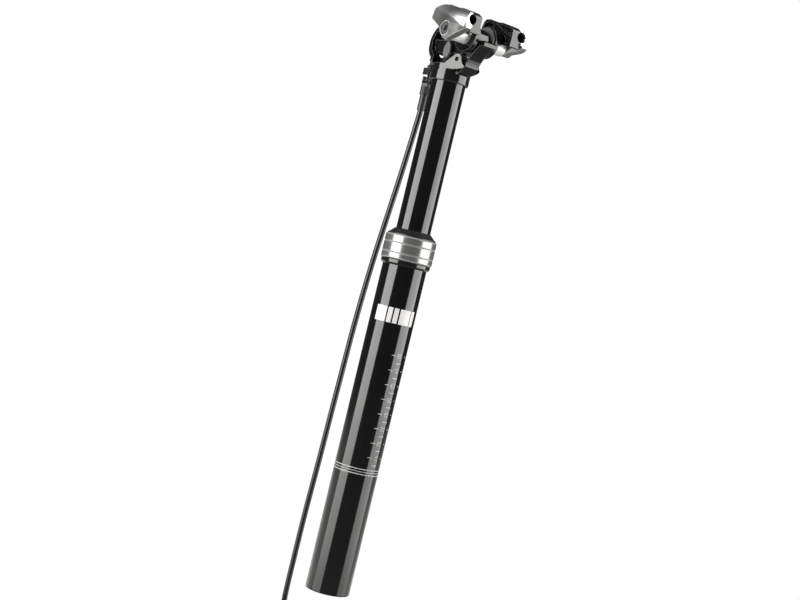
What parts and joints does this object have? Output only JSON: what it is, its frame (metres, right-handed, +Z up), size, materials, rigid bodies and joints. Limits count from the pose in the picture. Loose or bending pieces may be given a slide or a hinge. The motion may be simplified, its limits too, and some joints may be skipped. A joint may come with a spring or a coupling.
{
  "type": "dropper seatpost",
  "caption": "Telescoping bicycle seatpost with a gas spring inside, a cable-pulled release lever at its head and a side-bolt saddle rail clamp.",
  "frame": {"origin": "centre of the lower tube's bottom end, which is the end of the length that the frame's seat tube clamps", "axes": "+Z up the post, +Y forward to the cable's side, +X to the rider's right"},
  "size_m": [0.0859, 0.1455, 0.4662],
  "materials": {
    "black_tube": "gloss black anodised",
    "black_shaft": "polished black anodised",
    "forged_black": "semi-gloss black",
    "bright_alloy": "polished silver",
    "satin_alloy": "satin silver",
    "lever_grey": "satin grey anodised",
    "inner_alloy": "machined",
    "steel": "machined",
    "hard_chrome": "ground and polished",
    "key_brass": "machined",
    "bush_plastic": "moulded",
    "seal_rubber": "matt",
    "black_fitting": "satin black anodised",
    "cable_jacket": "smooth extruded",
    "tie_rubber": "matt",
    "print_white": "printed marks"
  },
  "bodies": {
    "lower_post": {"lower_tube": "black_tube", "bottom_plug": "black_fitting", "foot_screw": "steel", "piston_rod": "hard_chrome", "piston": "key_brass", "piston_seal": "seal_rubber", "upper_guide_bush": "bush_plastic", "collar": "bright_alloy", "collar_o_ring": "seal_rubber", "wiper_seal": "seal_rubber"},
    "upper_post": {"shaft": "black_shaft", "shaft_foot": "inner_alloy", "anti_rotation_keys": "key_brass", "lower_guide_bush": "bush_plastic", "top_out_bumper": "seal_rubber", "cartridge_gland": "inner_alloy", "rod_seal": "seal_rubber", "cartridge_body": "inner_alloy", "valve_body": "inner_alloy", "head": "forged_black", "pivot_pin": "steel", "cable_stop": "forged_black", "stop_screw": "steel", "adjuster_lock_nut": "black_fitting", "housing_ferrule": "black_fitting", "cable_run": "cable_jacket", "cable_coil": "cable_jacket", "cable_tie": "tie_rubber", "cable_end_ferrule": "black_fitting", "wire_nipple": "steel"},
    "clamp": {"left_cone": "satin_alloy", "right_cone": "satin_alloy", "tilt_bush": "key_brass", "left_cradle": "forged_black", "right_cradle": "forged_black"},
    "left_jaw": {"left_jaw_plate": "bright_alloy", "clamp_bolt": "steel", "bolt_washer": "steel"},
    "right_jaw": {"right_jaw_plate": "bright_alloy", "clamp_nut": "steel"},
    "lever": {"release_lever": "lever_grey", "wire_anchor": "black_fitting"},
    "valve": {"valve_pin": "steel"},
    "wire": {"inner_wire": "steel"},
    "adjuster": {"adjuster_barrel": "black_fitting"}
  },
  "joints": [
    {"name": "post_slide", "type": "slide", "parent": "lower_post", "child": "upper_post", "axis": [0, 0, -1], "range_m": [0, 0.1], "stiffness_N_per_m": 200, "springref_m": -0.4},
    {"name": "clamp_tilt", "type": "hinge", "parent": "upper_post", "child": "clamp", "pos_m": [0, -0.02, 0.3911], "axis": [1, 0, 0], "range_deg": [-18, 12]},
    {"name": "left_jaw_slide", "type": "slide", "parent": "clamp", "child": "left_jaw", "axis": [-1, 0, 0], "range_m": [0, 0.003]},
    {"name": "right_jaw_slide", "type": "slide", "parent": "clamp", "child": "right_jaw", "axis": [1, 0, 0], "range_m": [0, 0.003]},
    {"name": "lever_pull", "type": "hinge", "parent": "upper_post", "child": "lever", "pos_m": [0, -0.0146, 0.375], "axis": [-1, 0, 0], "range_deg": [0, 4], "stiffness_Nm_per_rad": 2, "springref_deg": -11.46},
    {"name": "valve_press", "type": "slide", "parent": "upper_post", "child": "valve", "axis": [0, 0, -1], "range_m": [0, 0.0011]},
    {"name": "wire_pull", "type": "slide", "parent": "upper_post", "child": "wire", "axis": [0, 0, -1], "range_m": [0, 0.0028]},
    {"name": "adjuster_turn", "type": "hinge", "parent": "upper_post", "child": "adjuster", "pos_m": [0, 0.0245, 0.353], "axis": [0, 0, 1], "continuous": true}
  ],
  "couplings": [
    {"joint": "valve_press", "follows": "lever_pull", "m_per_rad": 0.0146},
    {"joint": "wire_pull", "follows": "lever_pull", "m_per_rad": 0.0391}
  ]
}
